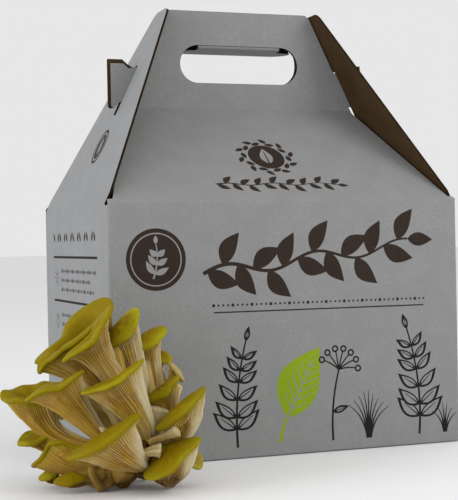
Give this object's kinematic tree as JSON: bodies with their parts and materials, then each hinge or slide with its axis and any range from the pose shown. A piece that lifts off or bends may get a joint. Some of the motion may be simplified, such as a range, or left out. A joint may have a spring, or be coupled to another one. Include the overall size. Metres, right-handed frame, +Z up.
{
  "type": "oyster mushroom grow kit",
  "caption": "Gable-topped corrugated carton with a hand hole in its handle, and a cluster of golden oyster mushrooms standing in front of its corner.",
  "frame": {"origin": "middle of the carton's bottom, on the floor", "axes": "+X along the carton's front wall to the right, +Y from its front to its back, +Z up"},
  "size_m": [0.3926, 0.3576, 0.3708],
  "materials": {
    "board": "matt white outside with printed panels, brown kraft inside and at the cut edges",
    "cap_skin": null,
    "stem_flesh": null,
    "foot_flesh": null
  },
  "bodies": {
    "root": {"front_wall": "board", "back_wall": "board", "left_wall": "board", "right_wall": "board", "bottom_flap_back": "board", "bottom_flap_front": "board", "bottom_flap_left": "board", "bottom_flap_right": "board", "gable_left": "board", "gable_right": "board", "roof_front": "board", "roof_back": "board", "handle_front": "board", "handle_back": "board", "hand_flap_front": "board", "hand_flap_back": "board", "foot": "foot_flesh", "stem_a": "stem_flesh", "stem_b": "stem_flesh", "stem_c": "stem_flesh", "stem_d": "stem_flesh", "stem_e": "stem_flesh", "stem_f": "stem_flesh", "stem_g": "stem_flesh", "stem_h": "stem_flesh", "stem_i": "stem_flesh", "stem_j": "stem_flesh", "stem_k": "stem_flesh", "stem_l": "stem_flesh", "stem_m": "stem_flesh", "stem_n": "stem_flesh", "stem_o": "stem_flesh", "stem_p": "stem_flesh", "stem_q": "stem_flesh", "stem_r": "stem_flesh", "stem_s": "stem_flesh", "stem_u": "stem_flesh", "cap_a": "cap_skin", "cap_b": "cap_skin", "cap_c": "cap_skin", "cap_d": "cap_skin", "cap_e": "cap_skin", "cap_f": "cap_skin", "cap_g": "cap_skin", "cap_h": "cap_skin", "cap_i": "cap_skin", "cap_j": "cap_skin", "cap_k": "cap_skin", "cap_l": "cap_skin", "cap_m": "cap_skin", "cap_n": "cap_skin", "cap_o": "cap_skin", "cap_p": "cap_skin", "cap_q": "cap_skin", "cap_r": "cap_skin", "cap_s": "cap_skin", "cap_u": "cap_skin"}
  },
  "joints": []
}
